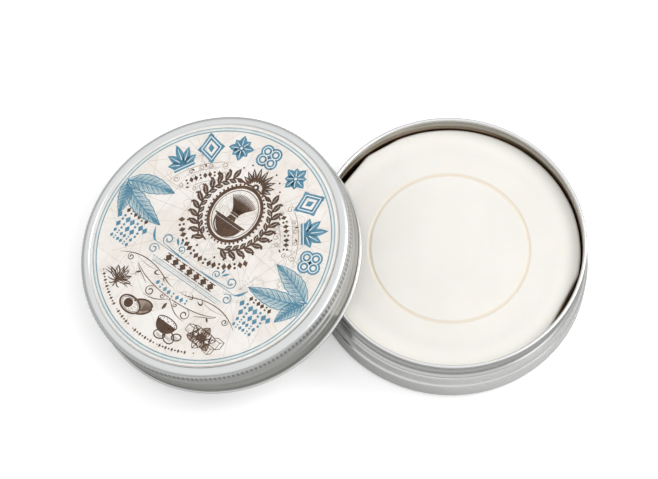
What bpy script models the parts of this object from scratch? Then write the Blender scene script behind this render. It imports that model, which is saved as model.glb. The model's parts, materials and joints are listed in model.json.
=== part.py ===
"""Shaving soap in a shallow screw-top aluminium tin.

The open tin stands on the table with the soap puck in it. The lid leans on it:
its lower edge is on the table and its rolled rim lies on the rim of the tin.
Lengths below are in millimetres and angles in degrees; MM turns them to metres.
The origin is under the middle of the whole group, on the table.
"""
import math

import bmesh
import bpy

MM = 0.001
STEPS = 56              # segments round every turned piece

# Clearances
TOUCH_GAP = 0.3         # between pieces that rest on one another
LABEL_GAP = 0.1         # behind a paper label
LABEL_INSET = 0.25      # round a label in its recess
SOAP_PLAY = 0.4         # round the soap, in the narrowest part of the neck
LID_PLAY = 0.5          # round the tin's thread, in the closed lid
LINER_PLAY = 0.55       # round the liner, in the lid's thread
SHOULDER_PLAY = 1.8     # between the closed lid's rim and the tin's shoulder

# Tin: radii are steps in from TIN_R, heights are drops from the rim
TIN_R = 41.0
TIN_HEIGHT = 21.0
TIN_WALL = 0.6
TIN_CORNER_R = 2.6
COLLAR_STEP = 0.7       # upper body, which the lid's skirt covers
NECK_STEP = 1.7
RIM_PROUD = 0.55        # rolled rim, out from the neck
RIM_TUBE = 0.55         # half the thickness of the rolled rim
THREAD_PROUD = 0.7      # rolled thread, out from the neck
THREAD_DROP = 3.6
BEAD_PROUD = 0.85       # small bead between thread and collar
BEAD_DROP = 7.3
COLLAR_DROP = 8.6
NECK_BULGE = 0.5        # how far the sheet is rolled in above and below the thread
PANEL_DEPTH = 0.8       # recess under the tin, for its label
FOOT_WIDTH = 1.8        # ring that the tin stands on
FOOT_SLOPE = 0.7

# Soap puck
SOAP_DROP = 5.2         # top of the soap, below the rim
SOAP_EDGE_R = 1.4
SOAP_FOOT_R = 1.0
RING_R = 23.5           # shallow ring pressed in the top
RING_HALF_WIDTH = 0.6
RING_DEPTH = 0.25
FLATS = ((-30.0, 0.7), (148.0, 0.9))   # direction and depth of each trimmed side

# Lid
LID_HEIGHT = 13.4
LID_WALL = 0.5
LID_TOP = 0.6           # sheet thickness of the lid's panel
LID_EDGE_R = 1.2
LID_PANEL_DEPTH = 0.3   # recess on top, for the lid's label
LID_BORDER = 3.15       # from the lid's side to that recess
KNURL_PROUD = 0.1       # knurled band, over the ridges
KNURL_WIDTH = 3.5
LID_THREAD_DEPTH = 0.45
LID_THREAD_HALF = 1.475  # half the height between the lid's two thread rings
SKIRT_GROOVE_DEPTH = 0.15
SKIRT_GROOVE_H = 2.2
LID_RIM_TUBE = 0.45     # half the thickness of the lid's rolled rim
LID_OVERLAP = 15.2      # how far the leaning lid's rim reaches over the tin's rim

# Liner and labels
LINER_T = 1.5
LABEL_T = 0.18

# Sizes that follow from the ones above
FLOOR_TOP = PANEL_DEPTH + TIN_WALL
COLLAR_R = TIN_R - COLLAR_STEP
NECK_R = TIN_R - NECK_STEP
TIN_RIM_R = NECK_R + RIM_PROUD
TIN_THREAD_R = NECK_R + THREAD_PROUD
TIN_THREAD_Z = TIN_HEIGHT - THREAD_DROP
TIN_BEAD_R = NECK_R + BEAD_PROUD
TIN_BEAD_Z = TIN_HEIGHT - BEAD_DROP
COLLAR_TOP_Z = TIN_HEIGHT - COLLAR_DROP
LINER_TOP = LID_HEIGHT - LID_PANEL_DEPTH - LID_TOP - TOUCH_GAP
SEAT_H = LINER_TOP - LINER_T            # liner's face, which the tin's rim seals on
SHOULDER_Z = TIN_HEIGHT - SEAT_H - SHOULDER_PLAY
FOOT_R = TIN_R - TIN_CORNER_R - FOOT_WIDTH
PANEL_R = FOOT_R - FOOT_SLOPE
SOAP_R = NECK_R - NECK_BULGE - SOAP_PLAY
SOAP_TOP_Z = TIN_HEIGHT - SOAP_DROP
LID_BORE_R = TIN_THREAD_R + LID_PLAY
LID_SIDE_R = LID_BORE_R + LID_WALL
LID_RIM_R = LID_SIDE_R + LID_RIM_TUBE
BAND_R = LID_SIDE_R + KNURL_PROUD
BAND_FOOT_H = LID_HEIGHT - KNURL_WIDTH
LID_PANEL_R = BAND_R - LID_BORDER
LID_THREAD_R = LID_BORE_R - LID_THREAD_DEPTH
LID_THREAD_H = SEAT_H - THREAD_DROP     # where the tin's thread comes in the closed lid
LID_GROOVES_H = (LID_THREAD_H + LID_THREAD_HALF, LID_THREAD_H - LID_THREAD_HALF)
LID_REACH = TIN_RIM_R + LID_RIM_R - LID_OVERLAP
LINER_R = LID_THREAD_R - LINER_PLAY
LID_LABEL_R = LID_PANEL_R - LABEL_INSET
BASE_LABEL_R = PANEL_R - LABEL_INSET


def arc(centre_r, centre_z, radius, start, stop, count):
    """Points of a circular arc in the profile plane."""
    angles = [start + (stop - start) * i / (count - 1) for i in range(count)]
    return [(centre_r + radius * math.cos(math.radians(a)),
             centre_z + radius * math.sin(math.radians(a))) for a in angles]


def ridge(radius, crest, height, half_crest, half_foot):
    """A rolled ring on a wall of this radius, from its upper foot to its lower foot."""
    return [(radius, height + half_foot), (crest, height + half_crest),
            (crest, height - half_crest), (radius, height - half_foot)]


def tin_profile():
    """Inner floor, up the inside, over the rim and down the outside."""
    inner_r = TIN_R - TIN_WALL
    inner_corner = TIN_CORNER_R - 0.2
    neck_in = NECK_R - NECK_BULGE
    points = [(0, FLOOR_TOP)]
    points += arc(inner_r - inner_corner, FLOOR_TOP + inner_corner, inner_corner, -90, 0, 4)
    points += [(inner_r, SHOULDER_Z - 0.5), (COLLAR_R - TIN_WALL, SHOULDER_Z + 0.3)]
    points += [(COLLAR_R - TIN_WALL, COLLAR_TOP_Z), (neck_in, TIN_BEAD_Z + 0.4)]
    points += reversed(ridge(neck_in, NECK_R, TIN_THREAD_Z, 0.4, 1.3))
    points += arc(TIN_RIM_R - RIM_TUBE, TIN_HEIGHT - RIM_TUBE, RIM_TUBE, 180, -60, 8)
    points += [(NECK_R, TIN_HEIGHT - 1.5)]
    points += ridge(NECK_R, TIN_THREAD_R, TIN_THREAD_Z, 0.25, 0.9)
    points += ridge(NECK_R, TIN_BEAD_R, TIN_BEAD_Z, 0.15, 0.8)[:3]
    points += [(TIN_BEAD_R - 0.25, TIN_BEAD_Z - 0.6), (COLLAR_R, COLLAR_TOP_Z)]
    points += [(COLLAR_R, SHOULDER_Z + 0.3), (TIN_R, SHOULDER_Z - 0.3)]
    points += arc(TIN_R - TIN_CORNER_R, TIN_CORNER_R, TIN_CORNER_R, 0, -90, 5)
    points += [(FOOT_R, 0), (PANEL_R, PANEL_DEPTH), (0, PANEL_DEPTH)]
    return points


def soap_profile():
    """Top with its pressed ring, rounded edges and a flat underside."""
    bottom = FLOOR_TOP + TOUCH_GAP
    points = [(0, SOAP_TOP_Z), (RING_R - RING_HALF_WIDTH, SOAP_TOP_Z)]
    points += [(RING_R - RING_HALF_WIDTH / 3, SOAP_TOP_Z - RING_DEPTH)]
    points += [(RING_R + RING_HALF_WIDTH / 3, SOAP_TOP_Z - RING_DEPTH)]
    points += [(RING_R + RING_HALF_WIDTH, SOAP_TOP_Z)]
    points += arc(SOAP_R - SOAP_EDGE_R, SOAP_TOP_Z - SOAP_EDGE_R, SOAP_EDGE_R, 90, 0, 4)
    points += arc(SOAP_R - SOAP_FOOT_R, bottom + SOAP_FOOT_R, SOAP_FOOT_R, 0, -90, 3)
    points += [(0, bottom)]
    return points


def lid_profile():
    """Recessed top, knurled band, rolled thread, rolled rim and back up the inside."""
    inner_top = LID_HEIGHT - LID_PANEL_DEPTH - LID_TOP
    groove_r = LID_SIDE_R - LID_THREAD_DEPTH + 0.05
    skirt_r = LID_SIDE_R - SKIRT_GROOVE_DEPTH
    points = [(0, LID_HEIGHT - LID_PANEL_DEPTH), (LID_PANEL_R, LID_HEIGHT - LID_PANEL_DEPTH)]
    points += [(LID_PANEL_R + 0.15, LID_HEIGHT)]
    points += arc(BAND_R - LID_EDGE_R, LID_HEIGHT - LID_EDGE_R, LID_EDGE_R, 90, 0, 4)
    points += [(BAND_R, BAND_FOOT_H)]
    for height in LID_GROOVES_H:
        points += ridge(LID_SIDE_R, groove_r, height, 0.35, 0.95)
    points += ridge(LID_SIDE_R, skirt_r, SKIRT_GROOVE_H, 0.35, 0.8)[:3]
    points += arc(LID_RIM_R - LID_RIM_TUBE, LID_RIM_TUBE, LID_RIM_TUBE, 110, -180, 9)
    points += [(LID_BORE_R, 2 * LID_RIM_TUBE)]
    for height in reversed(LID_GROOVES_H):
        points += reversed(ridge(LID_BORE_R, LID_THREAD_R, height, 0.35, 0.95))
    points += [(LID_BORE_R, inner_top - 0.9), (LID_BORE_R - 0.25, inner_top - 0.3)]
    points += [(LID_BORE_R - 0.9, inner_top), (0, inner_top)]
    return points


def disc_profile(radius, top, thickness):
    """A flat disc."""
    return [(0, top), (radius, top), (radius, top - thickness), (0, top - thickness)]


def rim_gap(tilt):
    """Room between the two rolled rims when the lid leans by this angle in radians."""
    lid_ring = LID_RIM_R - LID_RIM_TUBE
    tin_ring = TIN_RIM_R - RIM_TUBE
    nearest = math.inf
    for i in range(1440):
        a = math.pi * i / 1440
        x = -LID_REACH + lid_ring * math.cos(a) * math.cos(tilt)
        y = lid_ring * math.sin(a)
        z = LID_RIM_TUBE + lid_ring * math.sin(tilt) * (1 + math.cos(a))
        away = math.hypot(math.hypot(x, y) - tin_ring, z - TIN_HEIGHT + RIM_TUBE)
        nearest = min(nearest, away)
    return nearest - LID_RIM_TUBE - RIM_TUBE


def leaning_angle():
    """The lean at which the lid's rim, let down from above, clears the tin's rim by TOUCH_GAP."""
    high = math.radians(60)
    low = math.radians(59)
    while rim_gap(low) > TOUCH_GAP:
        high = low
        low = high - math.radians(1)
    for _ in range(30):
        middle = (low + high) / 2
        if rim_gap(middle) < TOUCH_GAP:
            low = middle
        else:
            high = middle
    return high


def material(name, colour, roughness, metallic):
    """A Principled BSDF material."""
    made = bpy.data.materials.new(name)
    made.use_nodes = True
    shader = made.node_tree.nodes["Principled BSDF"]
    shader.inputs["Base Color"].default_value = (*colour, 1.0)
    shader.inputs["Roughness"].default_value = roughness
    shader.inputs["Metallic"].default_value = metallic
    return made


def turned(name, profile, surface, parent, collection):
    """A solid turned round its own Z axis from a profile of radius and height."""
    mesh = bpy.data.meshes.new(name)
    shape = bmesh.new()
    corners = [shape.verts.new((r * MM, 0, z * MM)) for r, z in profile]
    for first, second in zip(corners, corners[1:]):
        shape.edges.new((first, second))
    shape.to_mesh(mesh)
    shape.free()
    mesh.materials.append(surface)
    piece = bpy.data.objects.new(name, mesh)
    collection.objects.link(piece)
    piece.parent = parent
    screw = piece.modifiers.new("turn", 'SCREW')
    screw.axis = 'Z'
    screw.angle = math.tau
    screw.steps = STEPS
    screw.render_steps = STEPS
    screw.use_merge_vertices = True
    screw.merge_threshold = 0.00001
    screw.use_smooth_shade = True
    return piece


def trim_flat(piece, index, direction, depth, parent, collection):
    """Cuts one straight side off the soap."""
    size = 2 * SOAP_R
    bpy.ops.mesh.primitive_cube_add(size=size * MM)
    cutter = bpy.context.active_object
    cutter.name = "soap_trim_%d" % index
    for owner in list(cutter.users_collection):
        owner.objects.unlink(cutter)
    collection.objects.link(cutter)
    cutter.parent = parent
    angle = math.radians(direction)
    reach = (SOAP_R - depth + size / 2) * MM
    cutter.location = (reach * math.cos(angle), reach * math.sin(angle), SOAP_TOP_Z / 2 * MM)
    cutter.rotation_euler = (0, 0, angle)
    cutter.hide_render = True
    cutter.display_type = 'WIRE'
    cut = piece.modifiers.new("trim_%d" % index, 'BOOLEAN')
    cut.operation = 'DIFFERENCE'
    cut.solver = 'EXACT'
    cut.object = cutter


def empty(name, location, tilt, collection):
    """An axis that pieces hang on."""
    axis = bpy.data.objects.new(name, None)
    axis.location = [value * MM for value in location]
    axis.rotation_euler = (0, -tilt, 0)
    collection.objects.link(axis)
    return axis


def build():
    """Makes the six pieces."""
    for item in list(bpy.data.objects):
        bpy.data.objects.remove(item, do_unlink=True)
    parts = bpy.data.collections.new("shaving_soap_tin")
    cutters = bpy.data.collections.new("shaving_soap_tin_cutters")
    bpy.context.scene.collection.children.link(parts)
    bpy.context.scene.collection.children.link(cutters)

    aluminium = material("spun_aluminium", (0.78, 0.79, 0.80), 0.35, 1.0)
    lid_metal = material("lid_aluminium", (0.74, 0.76, 0.79), 0.38, 1.0)
    soap = material("cream_soap", (0.90, 0.87, 0.80), 0.45, 0.0)
    paper = material("cream_paper", (0.88, 0.85, 0.78), 0.75, 0.0)
    foam = material("white_foam", (0.90, 0.90, 0.88), 0.80, 0.0)

    tilt = leaning_angle()
    lid_ring = LID_RIM_R - LID_RIM_TUBE
    foot_x = -LID_REACH + LID_RIM_TUBE * math.sin(tilt)
    foot_z = LID_RIM_TUBE + lid_ring * math.sin(tilt) - LID_RIM_TUBE * math.cos(tilt)
    left = min(foot_x - z * math.sin(tilt) - r * math.cos(tilt) for r, z in lid_profile())
    middle_x = (left + TIN_R) / 2

    tin_axis = empty("tin_axis", (-middle_x, 0, 0), 0, parts)
    lid_axis = empty("lid_axis", (foot_x - middle_x, 0, foot_z), tilt, parts)

    turned("tin_base", tin_profile(), aluminium, tin_axis, parts)
    puck = turned("soap_puck", soap_profile(), soap, tin_axis, parts)
    for index, (direction, depth) in enumerate(FLATS):
        trim_flat(puck, index, direction, depth, tin_axis, cutters)
    under = disc_profile(BASE_LABEL_R, PANEL_DEPTH - LABEL_GAP, LABEL_T)
    turned("base_label", under, paper, tin_axis, parts)

    turned("lid_shell", lid_profile(), lid_metal, lid_axis, parts)
    panel = LID_HEIGHT - LID_PANEL_DEPTH
    on_top = disc_profile(LID_LABEL_R, panel + LABEL_GAP + LABEL_T, LABEL_T)
    turned("lid_label", on_top, paper, lid_axis, parts)
    liner = disc_profile(LINER_R, LINER_TOP, LINER_T)
    turned("lid_liner", liner, foam, lid_axis, parts)


build()
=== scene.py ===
"""The open shaving soap tin with its lid leaning on it: final meshes, materials, light and camera.

Lengths are in millimetres and angles in degrees unless a name says otherwise; MM turns them to metres.
Turned pieces are modelled round their own Z axis and then put on the tin's axis or the lid's axis.
"""
import json
import random
from math import atan2, cos, dist, hypot, pi, radians, sin, sqrt, tan, tau

import bpy
import numpy as np
from mathutils import Matrix, Vector, noise


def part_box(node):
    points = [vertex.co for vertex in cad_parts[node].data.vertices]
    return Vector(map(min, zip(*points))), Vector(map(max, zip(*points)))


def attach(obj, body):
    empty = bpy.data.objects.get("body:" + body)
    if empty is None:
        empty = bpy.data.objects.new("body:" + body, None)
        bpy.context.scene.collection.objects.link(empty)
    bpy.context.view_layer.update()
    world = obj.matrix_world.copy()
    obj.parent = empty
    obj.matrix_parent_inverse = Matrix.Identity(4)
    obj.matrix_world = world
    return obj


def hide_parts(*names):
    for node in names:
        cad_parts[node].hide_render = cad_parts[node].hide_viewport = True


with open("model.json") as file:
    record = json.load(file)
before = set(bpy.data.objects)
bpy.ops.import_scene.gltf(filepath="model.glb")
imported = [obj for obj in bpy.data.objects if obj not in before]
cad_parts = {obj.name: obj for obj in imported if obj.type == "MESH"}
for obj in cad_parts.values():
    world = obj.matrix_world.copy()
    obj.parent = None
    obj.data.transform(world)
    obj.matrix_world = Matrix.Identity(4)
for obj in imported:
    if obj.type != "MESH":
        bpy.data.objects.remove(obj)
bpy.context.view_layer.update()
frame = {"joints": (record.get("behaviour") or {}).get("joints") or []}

MM = 0.001
AROUND = 320  # segments round the smooth pieces
RIDGES = 186  # ridges of the lid's knurled band
SKIN = 0.01  # the fine meshes stay this far inside the plain ones
FRONT = -94.5  # the side of the tin that faces the camera
OWN_PLACE = "own_place"  # attribute that holds each point before the piece is put on its axis

# The frame's own sizes
TIN_LOW, TIN_HIGH = (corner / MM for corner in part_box("tin_base"))
SOAP_LOW, SOAP_HIGH = (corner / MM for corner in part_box("soap_puck"))
PAPER_LOW, PAPER_HIGH = (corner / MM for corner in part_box("base_label"))
TIN_R = TIN_HIGH.y - SKIN
TIN_TOP = TIN_HIGH.z
SOAP_R = SOAP_HIGH.y - SKIN
SOAP_TOP = SOAP_HIGH.z - SKIN
BASE_LABEL_R = PAPER_HIGH.y - SKIN
LID_RIM_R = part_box("lid_shell")[1].y / MM - SKIN
LID_LABEL_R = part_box("lid_label")[1].y / MM - SKIN
LINER_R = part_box("lid_liner")[1].y / MM - SKIN
LID_JOINT = next(joint for joint in frame["joints"] if joint["name"] == "lid_turn")

# Tin: steps in from its side and drops from its rim
WALL = 0.6
NECK_R = TIN_R - 1.7
COLLAR_R = TIN_R - 0.7
PANEL_Z = 0.8
THREAD_PITCH = 2.95
TIN_THREAD_Z = TIN_TOP - 3.6

# Lid: heights above the lower edge of its rolled rim
LID_TOP = 13.4 - SKIN
LID_SIDE_R = LID_RIM_R - 0.45
LID_BORE_R = LID_SIDE_R - 0.5
LID_PANEL = 13.1
LID_PANEL_R = 37.95
LID_THREAD_H = 7.1
LABEL_TOP = 13.38
LINER_LOW, LINER_TOP = 10.7, 12.2

# Soap
RING_R = 23.5
RING_X = -0.4  # the pressed ring sits a little off the puck's middle
FLATS = ((-30.0, 1.4), (118.5, 0.4), (140.0, 0.95))  # direction and depth of each straight side


def lid_matrix():
    """The lid's own axes: Z along its axis, Y level, and the origin in its lower plane."""
    z = Vector(LID_JOINT["axis"]).normalized()
    y = Vector((0, 1, 0))
    x = y.cross(z)
    turn = Matrix((x, y, z)).transposed().to_4x4()
    return Matrix.Translation(LID_JOINT["pos_m"]) @ turn


TIN_PLACE = Matrix.Translation(((TIN_LOW.x + TIN_HIGH.x) / 2 * MM, 0, 0))
LID_PLACE = lid_matrix()


# ---- materials

class Nodes:
    """A node tree, with short calls for the nodes used here. Inputs are values or sockets."""

    def __init__(self, tree):
        self.tree = tree

    def put(self, socket, value):
        """Sets a socket, or links another node's socket to it."""
        if isinstance(value, bpy.types.NodeSocket):
            self.tree.links.new(value, socket)
        else:
            socket.default_value = value

    def node(self, kind, inputs=(), **settings):
        """A shader node; inputs holds pairs of a socket's name or number and what goes into it."""
        made = self.tree.nodes.new("ShaderNode" + kind)
        for key, value in settings.items():
            setattr(made, key, value)
        for key, value in inputs:
            self.put(made.inputs[key], value)
        return made

    def maths(self, operation, *values):
        """The result of a Math node."""
        return self.node("Math", enumerate(values), operation=operation).outputs[0]

    def times(self, first, second):
        """A product."""
        return self.maths('MULTIPLY', first, second)

    def ramp(self, factor, low, high, to_low=0.0, to_high=1.0):
        """factor, carried from one range to another, smoothly and held at the ends."""
        made = self.node("MapRange", [("Value", factor), ("From Min", low), ("From Max", high),
                                      ("To Min", to_low), ("To Max", to_high)],
                         interpolation_type='SMOOTHSTEP')
        return made.outputs["Result"]

    def span(self, length, low, high, *to):
        """A ramp over a length, between two lengths in mm."""
        return self.ramp(length, low * MM, high * MM, *to)

    def mix(self, factor, *colours):
        """The first colour or the second, by factor."""
        colours = [(*c, 1) if isinstance(c, tuple) else c for c in colours]
        return self.node("Mix", zip((0, 6, 7), (factor, *colours)), data_type='RGBA').outputs[2]


class Surface(Nodes):
    """A Principled material; place is where each point is in the piece's own axes."""

    def __init__(self, name, **sockets):
        self.material = bpy.data.materials.new(name)
        self.material.use_nodes = True
        super().__init__(self.material.node_tree)
        self.shader = self.tree.nodes["Principled BSDF"]
        for key, value in sockets.items():
            self.feed(key.replace("_", " "), value)
        self.place = self.node("Attribute", attribute_name=OWN_PLACE).outputs["Vector"]
        self.relief = None

    def feed(self, key, value):
        """Sets or links one of the shader's own inputs."""
        self.put(self.shader.inputs[key], value)

    def grain(self, scale, detail=3.0, rough=0.55, at=None):
        """Noise of this many waves per metre."""
        return self.node("TexNoise", [("Vector", self.place if at is None else at), ("Scale", scale),
                                      ("Detail", detail), ("Roughness", rough)]).outputs["Fac"]

    def cells(self, scale):
        """Distance from the middles of scattered cells, this many to the metre."""
        return self.node("TexVoronoi", [("Vector", self.place), ("Scale", scale)]).outputs["Distance"]

    def polar(self, at=None):
        """Distance from the turned piece's axis, its height, and the angle round it."""
        x, y, z = self.node("SeparateXYZ", [(0, self.place if at is None else at)]).outputs
        radius = self.maths('SQRT', self.maths('ADD', self.times(x, x), self.times(y, y)))
        return radius, z, self.maths('ARCTAN2', y, x)

    def bump(self, height, strength, distance):
        """Adds relief of this depth in metres, over any relief already made."""
        made = self.node("Bump", [("Height", height), ("Strength", strength), ("Distance", distance)])
        if self.relief is not None:
            self.put(made.inputs["Normal"], self.relief)
        self.relief = made.outputs[0]
        self.feed("Normal", self.relief)


def spun_metal(name, first, zones, roughness, knurled=False):
    """Satin aluminium with fine lines round its axis and an uneven finish.
    Going up, each zone (low, high, colour) takes over between two heights in mm; darker zones are painted
    shade in grooves and recesses, brighter ones painted highlights on rims. The knurling's valleys get
    painted shade."""
    made = Surface(name, Metallic=1.0)
    radius, height, angle = made.polar()
    pitch = 2600.0
    stretched = made.node("CombineXYZ", enumerate((made.times(radius, pitch), made.times(height, pitch),
                                                   made.times(angle, 0.8)))).outputs[0]
    lines = made.grain(1.0, 4.0, 0.6, stretched)
    patches = made.grain(80.0)
    colour = first
    # painted shade and painted highlights: the zones darken or lighten the metal by height
    for low, high, tint in zones:
        colour = made.mix(made.span(height, low, high), colour, tint)
    if knurled:
        # painted shade: the knurl's valleys are darkened between its ridges
        valley = made.ramp(made.maths('COSINE', made.times(angle, float(RIDGES))), -0.3, 0.9, 0.6, 0.0)
        band = made.times(made.span(height, 10.0, 10.3), made.span(height, 11.6, 12.2, 1.0, 0.0))
        outside = made.span(radius, LID_SIDE_R - 0.4, LID_SIDE_R - 0.25)
        colour = made.mix(made.times(valley, made.times(band, outside)), colour, (0.16, 0.155, 0.14))
    tone = made.maths('ADD', made.times(lines, 0.5), made.times(patches, 0.5))
    made.feed("Base Color", made.mix(made.ramp(tone, 0.35, 0.65, 0.05, 0.0), colour, (0.30, 0.30, 0.29)))
    made.feed("Roughness", made.ramp(patches, 0.35, 0.7, roughness - 0.02, roughness + 0.03))
    made.bump(lines, 0.15, 0.0000025)
    return made.material


def cream_soap():
    """Dense white soap: soft light inside it, faint clouds, tiny pits and a tinted pressed ring, with painted
    light near its edge and painted shade on its side.
    """
    made = Surface("cream_soap", Roughness=0.5, Subsurface_Weight=0.3, Subsurface_Scale=0.0025,
                   Subsurface_Radius=(1.0, 0.75, 0.5), IOR=1.46)
    radius, height, _ = made.polar()
    fine = made.grain(700.0, 4.0, 0.6)
    body = made.mix(made.ramp(made.grain(55.0, 4.0), 0.3, 0.7), (0.76, 0.74, 0.695), (0.79, 0.77, 0.725))
    ring_place = made.node("VectorMath", [(0, made.place), (1, (-RING_X * MM, 0, 0))], operation='ADD')
    from_middle = made.polar(ring_place.outputs[0])[0]
    from_ring = made.maths('ABSOLUTE', made.maths('SUBTRACT', from_middle, RING_R * MM))
    in_ring = made.times(made.span(from_ring, 0.35, 0.75, 0.75, 0.0),
                         made.span(height, SOAP_TOP - 1.5, SOAP_TOP - 0.7))
    ringed = made.mix(in_ring, body, (0.74, 0.655, 0.53))
    # painted light: the soap is lighter towards its edge, where the tin's wall shades it
    edge_painted_light = made.mix(made.span(radius, SOAP_R - 8.0, SOAP_R - 1.0), ringed, (0.91, 0.89, 0.835))
    # painted shade: the soap's side below its top edge is warm tan, down in the gap
    side = made.span(height, SOAP_TOP - 2.5, SOAP_TOP - 0.8, 1.0, 0.0)
    made.feed("Base Color", made.mix(side, edge_painted_light, (0.78, 0.68, 0.52)))
    made.feed("Roughness", made.ramp(fine, 0.3, 0.7, 0.42, 0.58))
    made.bump(fine, 0.25, 0.00004)
    made.bump(made.ramp(made.cells(420.0), 0.02, 0.16), 0.12, 0.00003)
    return made.material


def cream_paper():
    """Printed label stock: fibres, a faint aged cloudiness and a thin varnish."""
    made = Surface("cream_paper", Roughness=0.55, Coat_Weight=0.08, Coat_Roughness=0.35)
    fibres = made.grain(2600.0, 3.0, 0.7)
    clouds, stains = made.grain(75.0, 5.0, 0.6), made.grain(260.0, 4.0, 0.65)
    aged = made.mix(made.ramp(clouds, 0.35, 0.65), (0.82, 0.765, 0.705), (0.885, 0.85, 0.81))
    made.feed("Base Color", made.mix(made.ramp(stains, 0.46, 0.68, 0.0, 0.42), aged, (0.70, 0.655, 0.61)))
    made.feed("Roughness", made.ramp(fibres, 0.3, 0.7, 0.48, 0.62))
    made.bump(fibres, 0.2, 0.00002)
    return made.material


def print_ink(name, colour, worn):
    """Printing ink, a little uneven where the paper's grain shows through."""
    made = Surface(name, Roughness=0.5)
    body = made.grain(420.0, 4.0, 0.6)
    cover = made.maths('ADD', made.ramp(body, 0.35, 0.75, 0.0, 0.55),
                       made.ramp(made.cells(5200.0), 0.35, 0.6, 0.0, 0.25))
    made.feed("Base Color", made.mix(cover, colour, worn))
    made.feed("Roughness", made.ramp(body, 0.3, 0.7, 0.42, 0.58))
    return made.material


def white_foam():
    """The lid's liner: soft white foam with fine cells."""
    made = Surface("white_foam", Roughness=0.85, Sheen_Weight=0.1)
    clouds = made.ramp(made.grain(120.0, 4.0), 0.3, 0.7)
    made.feed("Base Color", made.mix(clouds, (0.80, 0.80, 0.78), (0.88, 0.88, 0.865)))
    made.bump(made.cells(1500.0), 0.5, 0.00008)
    return made.material


def white_floor():
    """A plain sweep that is bleached white to look at, and throws back less light than it shows."""
    made = Surface("white_floor", Roughness=0.9, Specular_IOR_Level=0.1, Emission_Color=(1, 1, 1, 1))
    seen = made.node("LightPath").outputs["Is Camera Ray"]
    shown = made.mix(made.grain(3.0, 2.0), (0.93, 0.93, 0.93), (0.95, 0.95, 0.95))
    made.feed("Base Color", made.mix(seen, (0.58, 0.58, 0.575), shown))
    made.feed("Emission Strength", made.times(seen, 0.3))
    return made.material


# ---- meshes

def add(name, data):
    """A new object in the scene."""
    made = bpy.data.objects.new(name, data)
    bpy.context.scene.collection.objects.link(made)
    return made


def piece(name, verts, faces, place, materials, body, slot, sharp=38.0, second=0):
    """A mesh object from millimetre points, put in place, riding a body.
    Its first faces, as many as second says, take the second material."""
    mesh = bpy.data.meshes.new(name)
    own = np.array(verts, float) * MM
    mesh.from_pydata(own.tolist(), [], faces)
    for item in materials:
        mesh.materials.append(item)
    for polygon in mesh.polygons[:second]:
        polygon.material_index = 1
    mesh.shade_smooth()
    mesh.set_sharp_from_angle(angle=radians(sharp))
    mesh.attributes.new(OWN_PLACE, 'FLOAT_VECTOR', 'POINT').data.foreach_set("vector", own.ravel())
    mesh.transform(place)
    made = add(name, mesh)
    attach(made, body)
    return made


def turned(profile, count=AROUND, shape=None):
    """Points and faces of a profile of radius and height turned round Z.
    shape(radius, height, angles) gives the radii and heights round the ring."""
    angles = np.arange(count) * tau / count
    verts, rows, faces = [], [], []
    for r, z in profile:
        if r == 0:
            rows.append([len(verts)])
            verts.append((0, 0, z))
            continue
        radii, heights = shape(r, z, angles) if shape else (r, z)
        rows.append(range(len(verts), len(verts) + count))
        ring = np.empty((count, 3))
        ring[:, 0], ring[:, 1], ring[:, 2] = radii * np.cos(angles), radii * np.sin(angles), heights
        verts.extend(ring)
    for upper, lower in zip(rows, rows[1:]):
        for i in range(count):
            j = (i + 1) % count
            if len(upper) == 1:
                faces.append((upper[0], lower[i], lower[j]))
            elif len(lower) == 1:
                faces.append((upper[i], lower[0], upper[j]))
            else:
                faces.append((upper[i], lower[i], lower[j], upper[j]))
    return verts, faces


def arc(x, y, radius, start, stop, count=12, tall=None):
    """Points of a circular arc or, where tall is its upright half axis, of an oval one."""
    angles = np.radians(np.linspace(start, stop, count))
    return [(x + radius * cos(a), y + (tall or radius) * sin(a)) for a in angles]


def run(start, stop, step):
    """Evenly spaced points of a straight line, both ends included."""
    count = max(2, round(dist(start, stop) / step) + 1)
    return [tuple(p) for p in np.linspace(start, stop, count)]


def filleted(corners, steps=6):
    """A profile from corners (radius, height, rounding)."""
    points = []
    for i, (x, y, rounding) in enumerate(corners):
        here = Vector((x, y))
        if rounding == 0 or i in (0, len(corners) - 1):
            points.append((x, y))
            continue
        before = Vector(corners[i - 1][:2]) - here
        after = Vector(corners[i + 1][:2]) - here
        half = before.angle(after) / 2
        reach = min(rounding / tan(half), 0.49 * before.length, 0.49 * after.length)
        size = reach * tan(half)
        middle = here + (before.normalized() + after.normalized()).normalized() * size / sin(half)
        first = here + before.normalized() * reach - middle
        last = here + after.normalized() * reach - middle
        sweep = atan2(first.x * last.y - first.y * last.x, first.dot(last))
        for k in range(steps):
            turn = Matrix.Rotation(sweep * k / (steps - 1), 2)
            points.append(tuple(middle + turn @ first))
    return points


def hill(distance, foot):
    """A smooth rise from 0 at the foot to 1 in the middle."""
    share = np.clip(1 - np.abs(distance) / foot, 0, 1)
    return share * share * (3 - 2 * share)


def thread(z, angles, middle, passes, foot):
    """How far a rolled thread stands out at this height, 0 to 1. It fades out at its ends, behind FRONT.
    passes lists where the thread crosses FRONT, in turns from its middle."""
    share = ((angles - radians(FRONT)) / tau + 0.5) % 1 - 0.5
    total = np.zeros_like(angles)
    reach = max(passes) + 0.5 if len(passes) > 1 else 0.62
    for start in (*passes, min(passes) - 1, max(passes) + 1):
        t = share + start
        fade = np.clip((reach - np.abs(t)) / 0.08, 0, 1)
        total = np.maximum(total, hill(z - middle - THREAD_PITCH * t, foot) * fade)
    return total


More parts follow.
